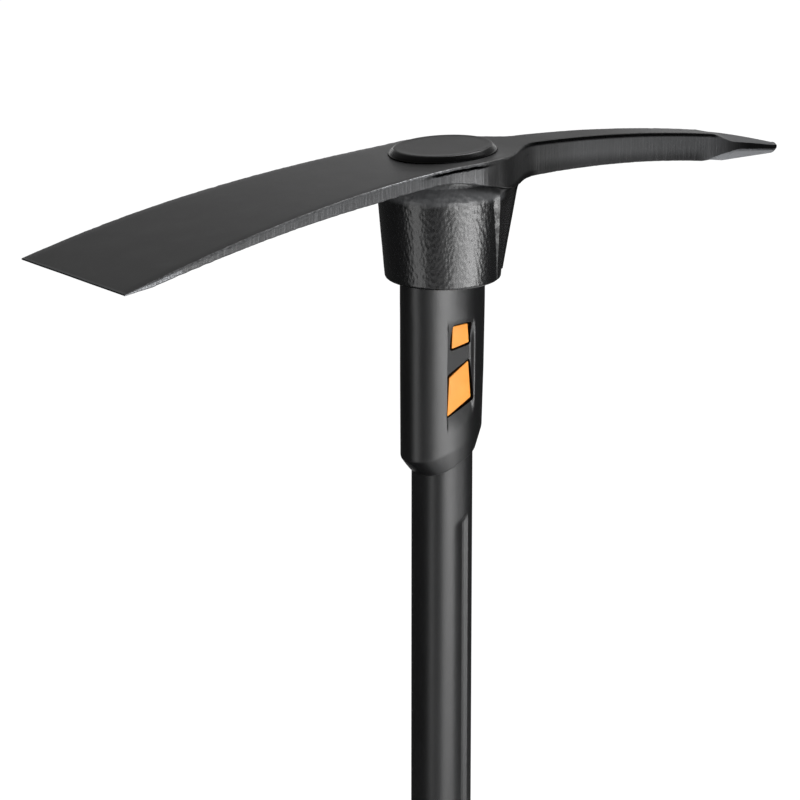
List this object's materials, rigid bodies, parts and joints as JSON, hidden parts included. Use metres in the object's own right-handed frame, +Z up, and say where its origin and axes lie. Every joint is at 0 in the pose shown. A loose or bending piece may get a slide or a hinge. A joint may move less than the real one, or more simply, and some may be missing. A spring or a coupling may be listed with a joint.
{
  "type": "pickaxe",
  "caption": "Pickaxe of the pick mattock form: forged head with a wide adze blade, a pointed pick and an eye collar, on a straight synthetic handle with a ribbed, flared grip.",
  "frame": {"origin": "middle of the butt cap's flat lower face, on the axis of the handle", "axes": "+Z up along the handle to the eye cap, +X towards the pick's point and -X towards the blade's cutting edge, Y across the blade"},
  "size_m": [0.4862, 0.0892, 0.914],
  "materials": {
    "black_steel": "satin black baked coat, rough as forged on the collar, ground bare on the bevel",
    "cap_plastic": "fine satin grain",
    "orange_elastomer": "satin",
    "sleeve_plastic": "satin, fine moulded grain",
    "core_composite": "raw drawn fibre and resin",
    "shell_plastic": "satin, fine moulded grain",
    "soft_grip": "soft matt",
    "butt_plastic": "satin"
  },
  "bodies": {
    "root": {"head": "black_steel", "eye_cap": "cap_plastic", "shock_sleeve": "orange_elastomer", "collar_sleeve": "sleeve_plastic", "handle_core": "core_composite", "handle_shell": "shell_plastic", "grip_sleeve": "soft_grip", "butt_cap": "butt_plastic"}
  },
  "joints": []
}
